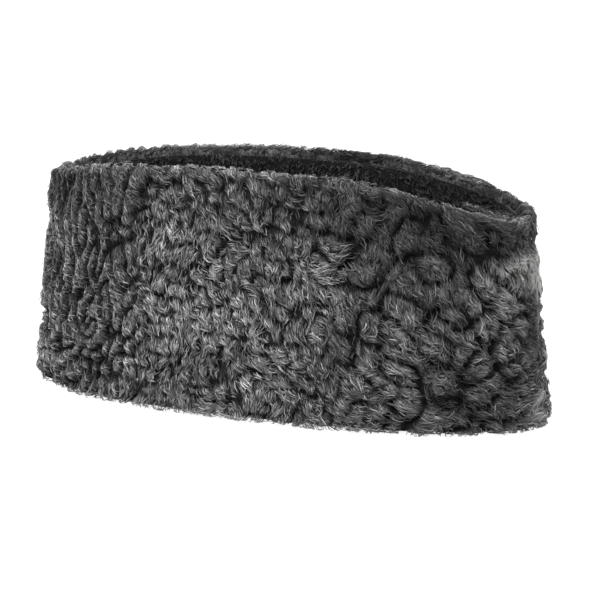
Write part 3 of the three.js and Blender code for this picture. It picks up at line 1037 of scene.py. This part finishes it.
def part_strands(pelt, coat, density, rng):
    """The coat's strands on the chart, the locks' count, and how many locks aren't hem curls."""
    locks = shape_locks(pelt, *climb(pelt, *scatter_locks(pelt, coat.top, rng)), rng)
    loose = coat.strands * LOOSE_PER_THOUSAND // (1000 * LOOSE_THREE)
    locks = np.concatenate((locks, loose_locks(pelt, coat.top, loose, rng)), axis=1)
    body = locks.shape[1]
    if coat.hem:
        locks = np.concatenate((locks, hem_locks(pelt, rng)), axis=1)
    count = locks.shape[1]
    x, y, t, s, lock = comb_locks(locks, density, rng)
    if coat.hem:
        lowest = np.where(np.arange(count) < body, rng.uniform(*HEM_LOWEST, count), CURL_LOWEST)
        lowest = lowest[lock][:, None] * MM
        y = lowest + HEM_SOFTNESS * np.logaddexp(0, (y - lowest) / HEM_SOFTNESS)
    level = pelt.roll_at(x[:, 1:-1], y[:, 1:-1]).min(axis=1)
    bare = pelt.trait("bare", x[:, 1], y[:, 1]) * rng.uniform(*BARE_VARIES, len(x))
    bare *= BARE_SEAM.at(pelt.from_seam(x[:, 1]))
    bare *= 1 + BARE_RIDGE.at(pelt.past_brim(x[:, 1], y[:, 1]))
    kept = np.flatnonzero(level > bare)
    if len(kept) > coat.strands:
        kept = kept[np.sort(rng.choice(len(kept), coat.strands, replace=False))]
    return x[kept], y[kept], t[kept], s[kept], lock[kept], count, body


def grow_wool(pelt, coat, fur, colours, rng):
    """Adds the strands of one chart, in as many pieces as the size of a piece needs."""
    x, y, t, s, lock, count, body = part_strands(pelt, coat, fur.density, rng)
    up, painted_light_and_tone = lift_strands(pelt, x, y, t, s, rng)
    # Painted shade by place and each stretch's brightness; the hem curls are made lighter, and the
    # pale tufts add their own tone
    painted_light_and_tone *= coat.gloom(pelt, x, y) * pelt.trait("light", x, y)
    if coat.hem:
        painted_light_and_tone[lock >= body] += HEM_CURL_BRIGHT
    tuft = np.clip(pelt.read(pelt.pale, x, y), 0, 1)
    painted_light_and_tone = np.clip(painted_light_and_tone + TUFT_BRIGHT * tuft, 0, 1)
    swell = (TUFT_SWELL + SEAM_SWELL.at(x - pelt.length)) * MM * tuft
    if coat.hem:
        swell += HEM_SWELL * HEM_MIDDLE.at(pelt.from_seam(x)) * (1 - HEM_HEIGHT.at(y))
    paths, normals = pelt.lay(x, y, (up - coat.pile) * pelt.ease(x, y) + swell)
    paths[..., 2] = np.maximum(paths[..., 2], LEAST_CLEARANCE)
    width = fur.strand_width * coat.broad * rng.uniform(*STRAND_WIDTHS, len(x))
    shade = rng.normal(0, LOCK_VARIES, count)[lock]
    shade = shade + STRAND_LIGHTER * rng.random(len(x)) ** LIGHTER_POWER
    root_x, root_y = x[:, 0], y[:, 0]
    shade += SHADE + pelt.trait("mottle", root_x, root_y) * pelt.read(pelt.tone, root_x, root_y)
    shade = np.clip(shade, 0, LIGHTEST_GREY)
    shade = np.clip(shade + pelt.read(pelt.pale, root_x, root_y), 0, PALEST)
    faces = len(x) * len(strand_faces(STRAND_POINTS)[0])
    parts = np.array_split(np.arange(len(x)), 1 + faces // MOST_FACES)
    for k, part in enumerate(parts):
        name = f"{coat.name}_{k + 1}" if len(parts) > 1 else coat.name
        mesh = strand_mesh(name, paths[part], normals[part], width[part], shade[part], painted_light_and_tone[part])
        mesh.materials.append(wool_material(colours))
        piece = bpy.data.objects.new(name, mesh)
        bpy.context.collection.objects.link(piece)
        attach(piece, "root")


class KARAKUL_OT_side_panel(bpy.types.Operator):
    """Adds both side panels with their curls"""

    bl_idname = "karakul.side_panel"
    bl_label = "Side Panels"

    def execute(self, context):
        cap, fur = context.scene.karakul_sizes, context.scene.karakul_fur
        colours = context.scene.karakul_colours
        track = Track(cap)
        for side, word, strands, broad in (
                (RIGHT, "right", fur.right_strands, fur.right_breadth),
                (LEFT, "left", fur.left_strands, fur.left_breadth)):
            rng = np.random.default_rng(fur.seed * 10 + side)
            pelt = side_chart(cap, track, side, rng)
            base = side_pelt(cap, fur, track, pelt, side, f"{word}_side_pelt")
            finish_pelt(base, colours, f"{word}_side_panel")
            coat = Coat(f"{word}_side_curls", strands, broad, fur.side_pile, "side_pelt",
                        lambda x: pelt.brim(x) + RIDGE_REACH, side_painted_light, True)
            grow_wool(pelt, coat, fur, colours, rng)
        return {"FINISHED"}


class KARAKUL_OT_crown(bpy.types.Operator):
    """Adds the folded crown with its curls"""

    bl_idname = "karakul.crown"
    bl_label = "Crown"

    def execute(self, context):
        cap, fur = context.scene.karakul_sizes, context.scene.karakul_fur
        colours = context.scene.karakul_colours
        track = Track(cap)
        rng = np.random.default_rng(fur.seed * 10 + 5)
        charts = {}
        for side, word in ((RIGHT, "right"), (LEFT, "left")):
            pelt = crown_chart(cap, track, side, rng)
            charts[side] = pelt
            coat = Coat(f"crown_curls_{word}", fur.crown_strands // 2, fur.crown_breadth,
                        fur.crown_pile, "crown_pelt", lambda x: CROWN_DEPTH + 0 * x, crown_gloom,
                        False)
            grow_wool(pelt, coat, fur, colours, rng)
        finish_pelt(crown_pelt(cap, fur, track, charts), colours, "crown_panel")
        return {"FINISHED"}


class KARAKUL_OT_stage(bpy.types.Operator):
    """Adds the floor, the lights and the camera"""

    bl_idname = "karakul.stage"
    bl_label = "Stage"

    def execute(self, context):
        add_camera(context)
        add_floor(context)
        add_lights(context)
        return {"FINISHED"}


def add_camera(context):
    turn, rise = math.radians(VIEW_TURN), math.radians(VIEW_RISE)
    level = math.cos(rise)
    back = Vector((math.sin(turn) * level, -math.cos(turn) * level, math.sin(rise)))
    right = Vector((math.cos(turn), math.sin(turn), 0))
    up = back.cross(right)
    camera = bpy.data.cameras.new("camera")
    camera.sensor_width = SENSOR
    camera.lens = PIXELS_PER_METRE * VIEW_DISTANCE * SENSOR / PICTURE_WIDTH
    view = bpy.data.objects.new("camera", camera)
    context.collection.objects.link(view)
    view.location = back * VIEW_DISTANCE
    target = right * AIM_RIGHT + up * AIM_UP
    view.rotation_mode = "QUATERNION"
    view.rotation_quaternion = (target - view.location).to_track_quat("-Z", "Y")
    context.scene.camera = view


def add_floor(context):
    bpy.ops.object.select_all(action="DESELECT")
    bpy.ops.mesh.primitive_plane_add(size=FLOOR_SIZE, location=(0, 0, 0))
    floor = bpy.context.object
    floor.name = "floor"
    material, _, shader = new_material("pale floor")
    shader.inputs["Base Color"].default_value = (*context.scene.karakul_colours.ground, 1)
    shader.inputs["Roughness"].default_value = 0.9
    shader.inputs["Specular IOR Level"].default_value = 0.1
    shader.inputs["Emission Color"].default_value = (1, 1, 1, 1)
    shader.inputs["Emission Strength"].default_value = FLOOR_GLOW
    floor.data.materials.append(material)


def add_lights(context):
    for name, place, size, power in LIGHTS:
        light = bpy.data.lights.new(name, "AREA")
        light.shape = "DISK"
        light.size = size
        light.energy = power
        lamp = bpy.data.objects.new(name, light)
        context.collection.objects.link(lamp)
        lamp.location = place
        lamp.rotation_mode = "QUATERNION"
        lamp.rotation_quaternion = (-Vector(place)).to_track_quat("-Z", "Y")
    world = bpy.data.worlds.new("studio")
    world.use_nodes = True
    sky = world.node_tree.nodes["Background"]
    sky.inputs["Color"].default_value = (1, 1, 1, 1)
    sky.inputs["Strength"].default_value = SKY_GLOW
    context.scene.world = world
    context.scene.view_settings.view_transform = "Standard"


class KARAKUL_PT_panel(bpy.types.Panel):
    """The cap's pieces"""

    bl_idname = "KARAKUL_PT_panel"
    bl_label = "Karakul Cap"
    bl_space_type = "VIEW_3D"
    bl_region_type = "UI"
    bl_category = "Karakul"

    def draw(self, context):
        for operator in OPERATORS:
            self.layout.operator(operator.bl_idname)


GROUPS = (CapSizes, FurSizes, CapColours)
OPERATORS = (KARAKUL_OT_stage, KARAKUL_OT_side_panel, KARAKUL_OT_crown)


def register():
    for group in (*GROUPS, *OPERATORS, KARAKUL_PT_panel):
        bpy.utils.register_class(group)
    bpy.types.Scene.karakul_sizes = PointerProperty(type=CapSizes)
    bpy.types.Scene.karakul_fur = PointerProperty(type=FurSizes)
    bpy.types.Scene.karakul_colours = PointerProperty(type=CapColours)


def unregister():
    del bpy.types.Scene.karakul_colours
    del bpy.types.Scene.karakul_fur
    del bpy.types.Scene.karakul_sizes
    for group in reversed((*GROUPS, *OPERATORS, KARAKUL_PT_panel)):
        bpy.utils.unregister_class(group)


def main():
    register()
    bpy.ops.karakul.stage()
    bpy.ops.karakul.side_panel()
    bpy.ops.karakul.crown()


if __name__ == "__main__":
    main()
